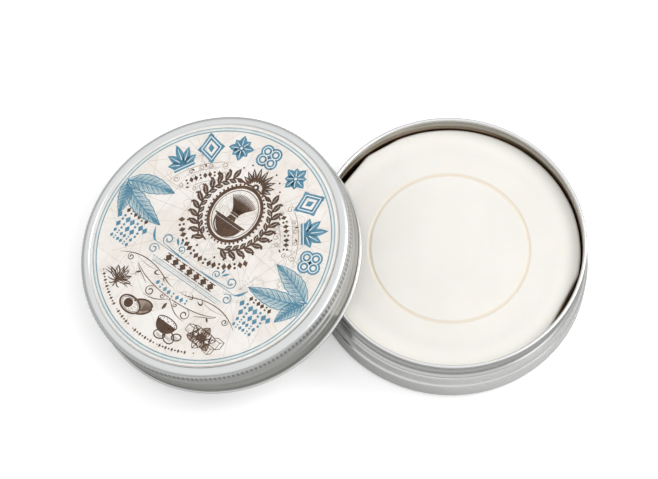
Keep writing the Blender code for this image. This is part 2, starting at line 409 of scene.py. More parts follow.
def tin_mesh():
    """Spun base: rolled rim, screw thread, bead, collar, body, foot ring and the recess below."""
    inner = TIN_R - WALL
    neck_in = NECK_R - 0.5
    profile = filleted([(0, 1.4, 0), (30, 1.4, 0), (30.6, 1.6, 0.6), (31.6, 1.6, 0.6), (32.2, 1.4, 0.6),
                        (inner, 1.4, 2.4), (inner, 8.0, 0.5), (COLLAR_R - WALL, 8.8, 0.5),
                        (COLLAR_R - WALL, 12.4, 0.5), (neck_in, 13.6, 0.5), (neck_in, 14.6, 0)])
    profile += run((neck_in, 14.8), (neck_in, 19.4), 0.12)
    inside = (len(profile) - 1) * AROUND
    tube = 0.55
    profile += arc(NECK_R, TIN_TOP - tube, tube, 175, -50, 18)
    profile += [(NECK_R, 19.75)]
    profile += run((NECK_R, 19.6), (NECK_R, 14.9), 0.12)
    profile += filleted([(NECK_R, 14.7, 0), (NECK_R + 0.1, 14.35, 0.2), (NECK_R + 0.82, 13.8, 0.35),
                         (NECK_R + 0.82, 13.5, 0.25), (NECK_R + 0.5, 13.1, 0.2), (NECK_R + 0.55, 12.85, 0.15),
                         (COLLAR_R, 12.45, 0.4), (COLLAR_R, 8.75, 0.5), (TIN_R, 8.15, 0.5),
                         (TIN_R, 0, 2.6), (36.6, 0, 0.3), (35.9, PANEL_Z, 0.3), (0, PANEL_Z, 0)], 8)

    def shape(r, z, angles):
        for wall, low, high, rise in ((NECK_R, 14.8, 19.7, 0.69), (neck_in, 14.7, 19.5, 0.5)):
            if abs(r - wall) < 0.001 and low < z < high:
                return r + rise * thread(z, angles, TIN_THREAD_Z, (0.0,), 0.95), z
        return r, z

    return *turned(profile, AROUND, shape), inside


def lid_mesh():
    """Recessed panel, raised border, knurled band, screw thread, skirt and rolled rim."""
    band_r = LID_SIDE_R + 0.1
    rim = 0.45
    edge = 1.9
    profile = filleted([(0, LID_PANEL, 0), (LID_PANEL_R, LID_PANEL, 0.12),
                        (LID_PANEL_R + 0.3, LID_TOP - 0.04, 0.25), (38.7, LID_TOP, 0.8),
                        (band_r - edge, LID_TOP - 0.01, 0)], 5)
    profile += arc(band_r - edge, LID_TOP - edge - 0.01, edge, 87, 0, 16)
    profile += run((band_r, LID_TOP - edge - 0.2), (band_r, 10.1), 0.2)
    profile += filleted([(band_r, 10.0, 0), (band_r - 0.03, 9.85, 0.1), (LID_SIDE_R, 9.75, 0.1),
                         (LID_SIDE_R, 9.7, 0)], 3)
    profile += run((LID_SIDE_R, 9.6), (LID_SIDE_R, 4.3), 0.12)
    profile += filleted([(LID_SIDE_R, 4.1, 0), (LID_SIDE_R, 2.9, 0.3), (LID_SIDE_R - 0.35, 2.3, 0.25),
                         (LID_SIDE_R - 0.35, 1.9, 0.2), (LID_SIDE_R - 0.05, 1.4, 0.2),
                         (LID_SIDE_R - 0.2, 0.95, 0)], 5)
    profile += arc(LID_SIDE_R, rim, rim, 110, -180, 18)
    profile += [(LID_BORE_R, 1.0), (LID_BORE_R, 4.1)]
    profile += run((LID_BORE_R, 4.3), (LID_BORE_R, 9.9), 0.14)
    profile += filleted([(LID_BORE_R, 10.1, 0), (LID_BORE_R, 12.5, 0.8), (0, 12.5, 0)], 6)

    def shape(r, z, angles):
        for wall, high in ((LID_SIDE_R, 9.65), (LID_BORE_R, 10.0)):
            if abs(r - wall) < 0.001 and 4.2 < z < high:
                return r - 0.45 * thread(z, angles, LID_THREAD_H, (-0.5, 0.5), 0.8), z
        if r > band_r - 0.6 and 9.9 < z < LID_TOP - 0.4:
            fade = min(1, (z - 9.9) / 0.3) * min(1, (LID_TOP - 0.7 - z) / 0.8)
            valley = 0.5 - 0.5 * np.cos(angles * RIDGES)
            return r - 0.03 - 0.18 * max(0, fade) * valley, z
        return r, z

    return turned(profile, RIDGES * 5, shape)


def soap_outline(angles):
    """The puck's radius all round: a slightly uneven circle with three straight sides."""
    radii = SOAP_R - 0.03 * (1 + np.sin(3 * angles + 0.7)) - 0.025 * (1 + np.sin(7 * angles + 2.1))
    radii -= 0.015 * (1 + np.sin(17 * angles)) + 0.01 * (1 + np.sin(31 * angles + 1.0))
    for direction, depth in FLATS:
        off = np.cos(angles - radians(direction))
        flat = np.where(off > 0.5, (SOAP_R - depth) / np.maximum(off, 0.5), SOAP_R)
        radii = np.minimum(radii, flat)
    return radii


def soap_mesh():
    """A pressed puck with a soft edge and one shallow ring."""
    bottom = SOAP_LOW.z + SKIN
    edge = 0.9
    profile = [(0, SOAP_TOP)] + run((1.5, SOAP_TOP), (RING_R - 1.5, SOAP_TOP), 1.1)
    profile += [(RING_R + step / 10, SOAP_TOP) for step in range(-12, 13)]
    profile += run((RING_R + 1.6, SOAP_TOP), (SOAP_R - 3.2, SOAP_TOP), 1.0)
    profile += [(SOAP_R - 2.2, SOAP_TOP), (SOAP_R - 1.5, SOAP_TOP)]
    profile += arc(SOAP_R - edge, SOAP_TOP - edge, edge, 92, 0, 14)
    profile += run((SOAP_R, SOAP_TOP - edge - 0.6), (SOAP_R, bottom + 1.4), 0.8)
    profile += arc(SOAP_R - 1.0, bottom + 1.0, 1.0, 0, -90, 8) + [(20, bottom), (0, bottom)]

    def shape(r, z, angles):
        share = np.clip((r - 30) / (SOAP_R - 30), 0, 1)
        radii = r + (soap_outline(angles) - SOAP_R) * share
        x, y = radii * np.cos(angles), radii * np.sin(angles)
        if z < SOAP_TOP - 3:
            return radii, z
        wave = np.array([noise.noise(Vector((px * 0.07, py * 0.07, 3.1))) for px, py in zip(x, y)])
        small = np.array([noise.noise(Vector((px * 0.45, py * 0.45, 8.3))) for px, py in zip(x, y)])
        dip = 0.05 * (1 + wave) + 0.015 * (1 + small)
        dip += 0.22 * np.array([hill(far - RING_R, 0.75) for far in np.hypot(x - RING_X, y)])
        droop = 0.08 * np.clip((r - 33) / 5, 0, 1) ** 2
        return radii, z - dip - droop

    return turned(profile, AROUND, shape)


def liner_mesh():
    """Foam disc with the mark that the tin's rim leaves in it."""
    soft = 0.25
    edge, low, top = LINER_R - soft, LINER_LOW + SKIN, LINER_TOP - SKIN
    profile = [(0, top), (edge, top)] + arc(edge, top - soft, soft, 80, 0, 6)
    profile += arc(edge, low + soft, soft, 0, -90, 7)
    profile += [(r, low) for r in (*np.arange(LINER_R - 0.4, 37.6, -0.12), *range(36, 1, -3), 0)]

    def shape(r, z, angles):
        if z > LINER_LOW + 0.2:
            return r, z
        soft_wave = 0.02 * (1 + np.sin(angles * 5 + r * 0.3))
        return r, z + soft_wave + 0.3 * hill(r - 38.75, 0.6)

    return turned(profile, 192, shape)


def paper_mesh(radius, top, bottom):
    """A label disc whose edge is a little lifted and rounded."""
    profile = [(0, top)] + [(r, top) for r in range(4, int(radius), 4)] + [(radius - 0.15, top)]
    profile += [(radius - 0.03, top - 0.02), (radius, top - 0.06)]
    profile += [(radius, bottom + 0.02), (radius - 0.05, bottom)]
    profile += [(r, bottom) for r in range(int(radius) - 2, 1, -8)] + [(0, bottom)]
    return turned(profile, 192)


# ---- printed art

def swing(x, y, px, py, turn):
    """The point px, py of a shape that is turned, in radians, and then moved to x, y."""
    return x + px * cos(turn) - py * sin(turn), y + px * sin(turn) + py * cos(turn)


def oval(x, y, wide, tall, turn=0.0, count=36):
    """The outline of an oval with these half axes."""
    return [swing(x, y, wide * cos(a), tall * sin(a), turn) for a in np.arange(count) * tau / count]


class Print:
    """Closed slabs of one ink on a label, in the design's own axes: x to the right, y up."""

    THICK = 0.004
    STEP = 0.00005  # each slab lies this much over the last, so that none share a plane

    def __init__(self, name, ink, up, base, side=1.0):
        self.name, self.ink, self.base, self.side = name, ink, base, side
        self.turn = radians(up - 90)
        self.verts, self.faces, self.count = [], [], 0

    def _layers(self, points):
        """Puts the outline's points on a lower and an upper level and returns their numbers."""
        self.count += 1
        top = self.base + self.side * (self.THICK + self.STEP * self.count)
        first = len(self.verts)
        for level in (self.base, top):
            self.verts += [(*swing(0, 0, x * self.side, y, self.turn), level) for x, y in points]
        return first, first + len(points)

    def blob(self, points):
        """A filled outline."""
        area = sum(a[0] * b[1] - b[0] * a[1] for a, b in zip(points, points[1:] + points[:1]))
        low, high = self._layers(points[::-1] if area < 0 else points)
        n = len(points)
        self.faces.append(tuple(range(high, high + n)))
        self.faces.append(tuple(range(low + n - 1, low - 1, -1)))
        for i in range(n):
            j = (i + 1) % n
            self.faces.append((low + i, low + j, high + j, high + i))

    def line(self, points, width, ends=1.0, closed=False):
        """A stroke along points. ends is the share of the width left at its two ends, or at each."""
        points = [Vector(p) for p in points]
        first, last = ends if isinstance(ends, tuple) else (ends, ends)
        n = len(points)
        left, right = [], []
        for i, p in enumerate(points):
            after = points[(i + 1) % n] if closed or i + 1 < n else p
            before = points[i - 1] if closed or i > 0 else p
            way = after - before
            way = way.normalized() if way.length > 0 else Vector((1, 0))
            t = i / (n - 1)
            swell = (first + (1 - first) * min(1, t * 2.5)) * (last + (1 - last) * min(1, (1 - t) * 2.5))
            off = Vector((-way.y, way.x)) * width / 2 * swell
            left.append(p + off)
            right.append(p - off)
        low, high = self._layers([(p.x, p.y) for p in left + right])
        for i in range(n if closed else n - 1):
            j = (i + 1) % n
            self.faces += [(high + i, high + n + i, high + n + j, high + j),
                           (low + i, low + j, low + n + j, low + n + i),
                           (high + i, high + j, low + j, low + i),
                           (high + n + j, high + n + i, low + n + i, low + n + j)]
        if not closed:
            e = n - 1
            self.faces += [(high, low, low + n, high + n), (high + e, high + n + e, low + n + e, low + e)]

    def ring(self, radius, width, centre=(0, 0), count=96, squeeze=1.0):
        """A closed circle or, with squeeze, an upright oval."""
        self.line(oval(*centre, radius * squeeze, radius, count=count), width, closed=True)

    def dot(self, x, y, radius, sides=12):
        """A filled round dot."""
        self.blob(oval(x, y, radius, radius, count=sides))

    def lozenge(self, x, y, width, height, turn=0.0):
        """A filled diamond."""
        self.blob(oval(x, y, width / 2, height / 2, turn, 4))

    def make(self, place, body):
        """The finished piece."""
        return piece(self.name, self.verts, self.faces, place, [self.ink], body, "label_paper", 20.0)


def bezier(a, b, c, d, count=16):
    """Points of a cubic curve."""
    a, b, c, d = (np.array(p) for p in (a, b, c, d))
    return [tuple((1 - t) ** 3 * a + 3 * (1 - t) ** 2 * t * b + 3 * (1 - t) * t * t * c + t ** 3 * d)
            for t in np.linspace(0, 1, count)]


def curl(x, y, radius, start, turns, hand=1, inner=0.25, count=26):
    """A spiral that starts on its outside at the angle start and winds in; hand is 1 or -1."""
    return [swing(x, y, radius * (1 - (1 - inner) * t), 0, radians(start) + hand * tau * turns * t)
            for t in np.linspace(0, 1, count)]


def petal(x, y, length, width, turn, fullness=0.5, count=9):
    """The outline of a pointed leaf that starts at x, y and points along turn, in radians."""
    shares = [k / (count - 1) for k in range(count)]
    return [swing(x, y, t * length, side * width / 2 * sin(pi * t ** (1.4 - 0.8 * fullness)), turn)
            for side, part in ((1, shares), (-1, shares[-2:0:-1])) for t in part]


def veined(dark, inline, x, y, length, width, turn, vein, ends, shares=(0.25, 0.75), fullness=0.5):
    """A petal with a light line in it."""
    dark.blob(petal(x, y, length, width, turn, fullness))
    inline.line([swing(x, y, share * length, 0, turn) for share in shares], vein, ends)


def both(draw, points, *rest):
    """Draws points and their mirror image."""
    draw(points, *rest)
    draw([(-x, y) for x, y in points], *rest)


def around(radius, angle, centre=(0, 0)):
    """The point at this radius and angle."""
    return swing(*centre, radius, 0, radians(angle))


def engraved_leaf(dark, pale, root, tip, width, bow, veins=9):
    """A leaf with a filled blade, an outline, a midrib and fine hatched veins."""
    root, tip = Vector(root), Vector(tip)
    way = tip - root
    across = Vector((-way.y, way.x)).normalized()
    middle = (root + tip) / 2 + across * bow

    def rib(t):
        return root * (1 - t) ** 2 + middle * 2 * t * (1 - t) + tip * t * t

    def half(t):
        return width / 2 * sin(pi * t ** 0.8) ** 0.85

    ts = [k / 20 for k in range(21)]
    left, right = ([tuple(rib(t) + across * side * half(t) * (1 + 0.05 * sin(t * 40))) for t in ts]
                   for side in (1, -1))
    pale.blob(left + right[-2:0:-1])
    for edge in (left, right):
        dark.line(edge, 0.28, 0.5)
    dark.line([tuple(rib(t)) for t in ts], 0.34, (1.2, 0.3))
    for k in range(veins):
        t = 0.08 + 0.8 * k / (veins - 1)
        for side in (1, -1):
            for lag, share, thick in ((0, 0.94, 0.27), (0.028, 0.8, 0.15), (0.055, 0.62, 0.13),
                                      (-0.025, 0.5, 0.12)):
                a = rib(min(1, t + lag))
                out = min(1, t + lag + 0.14)
                b = rib(out) + across * side * half(out) * share
                bend = (a + b) / 2 + across * side * half(t) * 0.12
                dark.line(bezier(a, bend, bend, b, 5), thick, (1.0, 0.4))


def lozenge_row(ink, points, size, gap=1.0):
    """A printed border of lozenges and pairs of dots along points."""
    points = [Vector(p) for p in points]
    lengths = [0.0]
    for a, b in zip(points, points[1:]):
        lengths.append(lengths[-1] + (b - a).length)
    count = max(2, int(lengths[-1] / (size * gap * 0.8)))
    for k in range(count + 1):
        at = lengths[-1] * k / count
        i = min(len(points) - 2, int(np.searchsorted(lengths, at, side='right')) - 1)
        here = points[i].lerp(points[i + 1], (at - lengths[i]) / (lengths[i + 1] - lengths[i]))
        way = (points[i + 1] - points[i]).normalized()
        if k % 3 == 1:
            for side in (-0.3, 0.3):
                ink.dot(here.x - way.y * size * side, here.y + way.x * size * side, size * 0.2, 8)
        else:
            ink.lozenge(*here, size * 0.78, size * 1.1, atan2(way.y, way.x))


def ornament(dark, inline, kind, centre_angle):
    """One of the eight large engraved ornaments of the upper arc."""
    base = around(30.7, centre_angle)
    tilt = radians(centre_angle - 90)
    size = 1.16

    def put(x, y):
        return swing(*base, x * size, y * size, tilt)

    def bar(points, width=1.45, closed=False):
        dark.line([put(*p) for p in points], width, closed=closed)
        inline.line([put(*p) for p in points], 0.3, closed=closed)

    def blade(y, length, width, turn):
        veined(dark, inline, *put(0, y), length * size, width * size, tilt + turn, 0.28, (1, 0.4),
               (0.25, 0.8))

    if kind == "lozenge":
        corners = [(0, 3.2), (-2.6, 0), (0, -3.2), (2.6, 0)]
        for a, b in zip(corners, corners[1:] + corners[:1]):
            bar(run(a, b, 1.0))
        for x, y in corners:
            dark.lozenge(*put(x * 1.1, y * 1.08), 1.9, 1.9, tilt)
        dark.lozenge(*put(0, 0), 1.9, 2.8, tilt)
    elif kind == "rosette":
        for k in range(8):
            blade(0, 3.5 if k % 2 == 0 else 2.9, 2.0, tau * k / 8)
        dark.dot(*put(0, 0), 1.1)
        inline.dot(*put(0, 0), 0.42)
    elif kind == "palmette":
        for k in range(-2, 3):
            blade(-2.4, 6.0 - 0.9 * abs(k), 2.0, radians(90 - 36 * k))
        bar([(-2.9, -2.9), (2.9, -2.9)], 1.5)
    else:
        for x, y in oval(0, 0, 1.75, 1.75, pi / 4, 4):
            bar(oval(x, y, 1.2, 1.2, count=20), 1.4, True)
        dark.lozenge(*put(0, 0), 2.0, 2.0, tilt)


def draw_border(blue, pale):
    """The double ring round the label."""
    for ink, radius, width in ((pale, 36.7, 0.52), (pale, 35.9, 0.5), (blue, 36.85, 0.13), (blue, 35.8, 0.2)):
        ink.ring(radius, width, count=256)


def draw_brush(brown, inline, x, y):
    """A shaving brush that stands in its bowl, round a point between them."""
    brown.blob(arc(x, y - 0.3, 4.9, 180, 360, 28, 5.0))
    brown.line([(x - 5.6, y - 0.1), (x + 5.6, y - 0.1)], 0.7, 0.7)
    inline.line([(x - 4.9, y - 0.9), (x + 4.9, y - 0.9)], 0.2, 0.4)
    inline.line(arc(x, y - 0.5, 4.3, 200.535, 252.101, 10), 0.25, 0.3)
    for low, high, wide in ((0.2, 1.6, 1.1), (1.8, 2.5, 1.4)):
        brown.blob([(x - 1.5, y + low), (x + 1.5, y + low), (x + wide, y + high), (x - wide, y + high)])
    for k in range(-10, 11):
        lean = k / 10
        brown.line(bezier((x + 1.25 * lean, y + 2.6), (x + 1.8 * lean, y + 4.6), (x + 4.0 * lean, y + 5.9),
                          (x + 4.3 * lean, y + 8.5 - 1.5 * lean * lean), 8), 0.32, (1.2, 0.6))


def draw_wreath(brown, inline):
    """The middle medallion: the brush in an oval, laurel round it and a fan of petals above."""
    centre = (-0.5, 11.0)
    x0 = centre[0]
    brown.ring(8.8, 1.0, centre, squeeze=0.88)
    brown.ring(7.7, 0.2, centre, squeeze=0.88)
    for bead in oval(*centre, 8.5, 9.65, count=44):
        brown.dot(*bead, 0.34, 8)
    draw_brush(brown, inline, x0, 8.7)
    for side in (1, -1):
        brown.line([around(11.3, 90 - side * a, centre) for a in np.linspace(34, 168, 40)], 0.5, (0.4, 1.0))
        for angle in range(40, 161, 12):
            for out, long, wide in ((1, 3.9, 1.75), (-1, 2.7, 1.4)):
                turn = radians(90 - side * (angle + 4) + side * (90 - 42 * out))
                veined(brown, inline, *around(11.3, 90 - side * (angle + 3 * out), centre), long, wide, turn,
                       0.16, 0.5)
            brown.dot(*around(14.3, 90 - side * (angle + 6), centre), 0.36, 8)
        brown.line([(x0 + side * (6.4 + 0.9 * cos(b)), -0.2 + 0.9 * sin(b)) for b in np.linspace(0, 5.2, 16)],
                   0.5, (1.0, 0.3))
    y0 = 20.9
    for k in range(-4, 5):
        a = radians(90 - 20 * k)
        veined(brown, inline, x0 + 2.0 * cos(a), y0 + 1.3 * sin(a), 5.0 - 0.1 * k * k, 1.45, a, 0.2,
               (0.4, 1.0), (0.35, 0.75), 0.9)
        brown.dot(x0 + 8.2 * cos(a), y0 + 7.1 * sin(a) * (1 - 0.02 * k * k), 0.3, 8)
    brown.dot(x0, y0, 1.05, 18)
    inline.dot(x0, y0, 0.4)
    for side in (1, -1):
        ribbon = bezier(*((x0 + side * x, y) for x, y in ((1.2, 20.6), (4, 20), (6, 20.8), (7.4, 19.4))))
        brown.line(ribbon, 0.6, (0.8, 0.3))
    lozenge_row(brown, arc(x0, 10.0, 15.6, 216, 324, 40), 2.0, 1.02)


def draw_banner(blue, brown, pale):
    """Scrollwork with a row of ornaments in the lower half."""
    blue.line([(-16.6, -8.7), (15.6, -8.7)], 0.42, 0.4)
    blue.line([(-13.4, -12.5), (13.4, -12.5)], 0.3, 0.5)
    blue.line([(-12.6, -13.75), (12.6, -13.75)], 0.42, 0.4)
    pale.line([(-13.0, -13.1), (13.0, -13.1)], 0.5, 0.5)
    for points, width, ends in (
            (bezier((15.4, -8.7), (16.8, -8.4), (17.6, -7.0), (18.4, -5.3)), 0.75, (0.3, 0.2)),
            (curl(14.5, -10.9, 1.75, 160, 1.35, -1), 0.32, (0.6, 1.2)),
            (curl(12.4, -6.2, 1.9, 250, 1.3, 1), 0.36, (0.5, 1.2)),
            (bezier((2.0, -8.4), (5.5, -8.6), (8.8, -8.3), (11.6, -8.0)), 0.34, (0.4, 0.6)),
            (curl(7.0, -6.6, 1.3, 240, 1.2, -1), 0.34, (0.5, 1.2))):
        both(blue.line, points, width, ends)
    both(blue.blob, petal(8.6, -6.2, 2.6, 0.75, radians(48)))
    both(blue.blob, petal(8.2, -5.7, 1.9, 0.6, radians(88)))
    for bead in arc(0, -3.6, 4.7, 200, 340, 15):
        pale.dot(*bead, 0.2, 8)
    for k in range(-3, 4):
        x = 2.75 * k - 0.4
        brown.lozenge(x, -10.6, 2.3, 2.5)
        for y in (-9.5, -11.7):
            brown.line([(x - 1.1, y), (x + 1.1, y)], 0.3)
        pale.dot(x, -10.6, 0.2)


def draw_flourish(brown, blue, grey):
    """Swashes and a small ribbon under the banner."""
    for points, width, ends in (
            (bezier((22.6, -17.3), (18.5, -14.6), (14.5, -13.9), (9.5, -14.9), 24), 0.28, (0.2, 0.8)),
            (bezier((9.5, -14.9), (6.0, -15.7), (4.0, -17.2), (1.5, -17.0)), 0.28, (0.8, 0.2)),
            (curl(18.6, -16.7, 1.15, 60, 1.3, -1), 0.26, (0.5, 1.4)),
            (bezier((4.6, -15.5), (6.4, -16.0), (5.8, -17.3), (4.6, -16.9)), 0.36, 0.2),
            (bezier((8.5, -15.1), (10.2, -16.6), (8.8, -17.2), (7.6, -16.2)), 0.5, 0.2),
            (bezier((15.4, -16.9), (12.5, -18.8), (7.5, -20.0), (0.6, -20.2), 20), 0.24, (0.4, 0.8)),
            (bezier((15.4, -16.9), (14.6, -18.4), (12.0, -18.9), (9.5, -20.6)), 0.2, (0.4, 0.6)),
            (curl(6.8, -21.7, 1.7, 95, 1.25, -1), 0.3, (0.4, 1.3)),
            (bezier((0.4, -20.6), (2.6, -22.2), (4.2, -23.6), (8.0, -23.4)), 0.26, (0.6, 0.3)),
            (curl(2.6, -20.9, 0.8, 120, 1.1, 1), 0.24, (0.4, 1.2))):
        both(brown.line, points, width, ends)
    both(brown.blob, petal(13.0, -18.6, 1.7, 0.6, radians(-40)))
    brown.blob(petal(0, -21.6, 2.6, 0.95, radians(-90)))
    brown.blob(petal(0, -20.9, 1.0, 0.4, radians(90)))
    lozenge_row(blue, arc(-0.6, 12.0, 30.9, 259, 280, 24), 1.6, 1.2)
    both(grey.line, bezier((17.0, -15.2), (14.0, -16.2), (11.0, -16.2), (9.0, -15.4)), 0.18, 0.3)


def draw_side_scrolls(brown, grey):
    """Small arcs with scrollwork on both sides of the medallion."""
    for side in (1, -1):
        def at(radius, angle):
            return around(radius, 90 - side * angle)
        lozenge_row(brown, [at(22.3, a) for a in np.linspace(35, 61, 12)], 1.7)
        for radius, low, high, width in ((25.9, 24, 74, 0.2), (20.4, 37, 60, 0.16), (24.2, 34, 64, 0.14)):
            grey.line([at(radius, a) for a in np.linspace(low, high, 24)], width, 0.2)
        for radius, angle, size, start in ((24.9, 31, 1.1, 0), (24.9, 67, 1.1, 120), (19.4, 41, 1.0, 200),
                                           (19.2, 50, 1.2, 40), (19.4, 57, 0.9, 90), (24.9, 48, 0.9, 300),
                                           (25.0, 41, 0.8, 20), (25.0, 56, 0.8, 160), (22.2, 31, 0.9, 80),
                                           (22.2, 66, 0.9, 10)):
            grey.line(curl(*at(radius, angle), size, start, 1.3, side), 0.2, (0.3, 1.3))
        for radius, angle, turn in ((24.8, 45, 40), (24.8, 53, 100), (19.0, 45.5, 230), (18.2, 52, 200),
                                    (21.0, 32.5, 120), (21.0, 64, 300)):
            brown.blob(petal(*at(radius, angle), 1.3, 0.5, radians(90 - side * turn)))


def draw_leaves(blue, pale):
    """Two blue sprigs, one at each side."""
    for side in (1, -1):
        for x, y, tip_x, tip_y, width, bow in ((35.4, 1.2, 20.3, 5.9, 5.6, -1.3),
                                               (34.6, 0.2, 17.6, -4.3, 5.4, 1.6),
                                               (35.2, 0.8, 31.0, -8.4, 4.2, -1.2)):
            engraved_leaf(blue, pale, (side * x, y), (side * tip_x, tip_y), width, side * bow)
        blue.line([(side * 35.6, 1.6), (side * 33.6, 0.4)], 0.5, (0.6, 0.4))


def draw_side_rows(blue, brown, *places):
    """Small rows of lozenges under each sprig."""
    for x, y in places:
        lozenge_row(brown, [(x - 3.5, y), (x + 3.5, y)], 1.6, 0.95)
        for drop, half, size in ((2.5, 5.0, 2.1), (4.9, 3.6, 2.0), (7.0, 3.1, 1.35), (8.8, 3.0, 1.3)):
            lozenge_row(blue, [(x - half, y - drop), (x + half, y - drop)], size, 0.98)


def draw_tuft(brown, paper):
    """A spiky plant, the first of the four along the lower edge."""
    luck = random.Random(11)
    root = (-17.6, -24.8)
    x0, y0 = root
    for k in range(17):
        a = radians(4 + 10.2 * k)
        long = luck.uniform(3.4, 5.8)
        x, y = long * cos(a), long * sin(a)
        bends = [(x0 + out * x, y0 + up * y) for out, up in ((0.35, 0.35), (0.5, 0.65), (0.8, 0.95))]
        brown.line(bezier(*bends, (x0 + 1.1 * x - 0.5, y0 + y - 0.3), 8),
                   luck.uniform(0.16, 0.36), (0.8, 0.3))
    for k in range(4):
        a = radians(200 + 38 * k)
        x, y = cos(a), sin(a)
        brown.line(bezier(root, (x0 + x, y0 + 2 * y), (x0 + 2.4 * x, y0 + 2.4 * y),
                          (x0 + 3.2 * x, y0 + 1.9 * y), 8), 0.34, (1.4, 0.3))
    for k in range(6):
        a = radians(20 + 26 * k)
        leaf = petal(*root, 4.6, 1.25, a)
        paper.blob(leaf)
        brown.line(leaf, 0.26, closed=True)
        brown.line([root, (x0 + 4.4 * cos(a), y0 + 4.2 * sin(a))], 0.16, (1, 0.3))
    brown.dot(*root, 0.75, 14)


def draw_fruit(brown, grey, paper, inline):
    """A fruit in two halves, the front one with its stone."""
    back = oval(-5.9, -27.1, 3.6, 2.3, 0.5)
    grey.blob(back)
    brown.line(back[:14], 0.5)
    brown.line(back[-11:], 0.5)
    for k in range(8):
        brown.line(bezier((-5.6 + 0.4 * k, -28.6 + 0.3 * k), (-5.0 + 0.35 * k, -27.8 + 0.25 * k),
                          (-4.9 + 0.3 * k, -26.6 + 0.2 * k), (-5.4 + 0.35 * k, -25.4 + 0.1 * k), 6),
                   0.2, (0.8, 0.3))
    paper.blob(oval(-9.2, -28.3, 3.7, 2.35, -0.1))
    brown.line(oval(-9.2, -28.3, 3.65, 2.3, -0.1), 0.55, closed=True)
    brown.line(oval(-9.2, -28.3, 3.05, 1.8, -0.1), 0.14, closed=True)
    for stroke in zip(oval(-9.7, -28.2, 1.75, 1.55, count=12), oval(-9.4, -28.2, 2.7, 1.8, count=12)):
        brown.line(stroke, 0.13, (0.8, 0.3))
    brown.dot(-9.9, -28.2, 1.45, 20)
    inline.line(arc(-9.9, -28.2, 0.85, 110, 190, 8), 0.25, 0.3)


def draw_seed_bowl(brown, paper, inline):
    """A small bowl of seeds with three nuts before it."""
    brown.blob(arc(4.2, -26.5, 3.5, 180, 360, 24, 3.3))
    for k in range(8):
        x = 1.6 + 0.75 * k
        inline.line([(x, -27.6), (x - 0.13 * (k - 3.5), -27.7 - 1.5 * sin(pi * (k + 1) / 9))], 0.2, (1, 0.3))
    paper.blob(oval(4.2, -26.3, 3.5, 1.35))
    brown.line(oval(4.2, -26.3, 3.5, 1.35), 0.32, closed=True)
    for k in range(18):
        brown.dot(1.5 + 0.32 * k, -26.3 + 0.85 * sin(k * 2.4), 0.17, 6)
    for x, y, size, tilt in ((4.4, -30.4, 1.6, 0.2), (7.3, -29.7, 1.9, -0.4), (9.4, -28.4, 1.3, 0.5)):
        nut = oval(x, y, size * 1.15, size * 0.8, tilt, 24)
        paper.blob(nut)
        brown.line(nut, 0.36, closed=True)
        for k in range(4):
            slope = y - 0.25 * k
            brown.line([(x - size * 0.8 + 0.15 * k, slope + 0.1), (x + size * 0.7, slope - 0.1)], 0.2, 0.3)


def draw_blossom(brown, grey, paper):
    """A six-leaved blossom among three blocks."""
    for x, y, size in ((20.6, -23.2, 1.6), (11.4, -23.8, 1.4), (19.6, -26.0, 1.3)):
        def at(across, up):
            return x + size * across, y + size * up
        face = [at(-1, -0.8), at(0.6, -1), at(0.6, 0.5), at(-1, 0.6)]
        brown.line(face, 0.2, closed=True)
        brown.line([face[3], at(-0.2, 1.1), at(1.3, 1), face[2]], 0.2)
        brown.line([at(1.3, 1), at(1.3, -0.4), face[1]], 0.2)
        for k in range(4):
            grey.line([(x - size * 0.8 + 0.35 * k, y - size * 0.7), (x - size * 0.5 + 0.35 * k, y)],
                      0.13, (0.5, 0.3))
    for k in range(6):
        a = radians(25 + 60 * k)
        x, y = 15.8 + 0.5 * cos(a), -24.3 + 0.4 * sin(a)
        engraved_leaf(brown, grey if k % 2 else paper, (x, y), (x + 4.3 * cos(a), y + 3.5 * sin(a)),
                      2.9, 0.25, 3)
    brown.dot(15.8, -24.3, 0.8)


def draw_lower_arc(brown):
    """The fine row of dots and lozenges inside the lower border."""
    row = 33.7
    for low, high in ((-131, -112), (-108.5, -98), (-94.5, -82), (-78.5, -63)):
        for k, a in enumerate(np.arange(low, high, 1.75)):
            if k % 2:
                brown.dot(*around(row, a), 0.27, 10)
            else:
                brown.lozenge(*around(row, a), 0.75, 1.25, radians(a - 90))
    for a in (-133.5, -110, -96, -80, -60):
        brown.dot(*around(row, a), 0.2, 8)


def draw_map(faint, seed, radius):
    """Faint bearing lines and wandering contours behind everything."""
    luck = random.Random(seed)
    for *hub, spokes in ((-3, 6, 20), (16, -6, 16), (-21, 20, 14), (24, 16, 12), (-14, -20, 12)):
        start = Vector(hub)
        turn = luck.uniform(0, 20)
        for k in range(spokes):
            a = radians(turn + 360 * k / spokes)
            way = Vector((cos(a), sin(a)))
            along = start.dot(way)
            reach = -along + sqrt(max(0, along * along - start.length_squared + radius * radius))
            faint.line([start, start + way * min(reach, luck.uniform(24, 60))], 0.07)
    for _ in range(34):
        x, y = luck.uniform(-30, 30), luck.uniform(-30, 30)
        if hypot(x, y) > radius - 6:
            continue
        size = luck.uniform(1.2, 4.6)
        start = luck.uniform(0, 100)
        ring = []
        for a in np.arange(60) * tau / 60:
            r = size * (1 + 0.9 * noise.noise(Vector((cos(a) * 1.7 + start, sin(a) * 1.7, size))))
            ring.append((x + r * cos(a), y + r * 0.8 * sin(a)))
        if max(hypot(px, py) for px, py in ring) < radius:
            faint.line(ring, 0.09, closed=True)
            faint.line([(x + (px - x) * 0.8, y + (py - y) * 0.8) for px, py in ring], 0.06, closed=True)


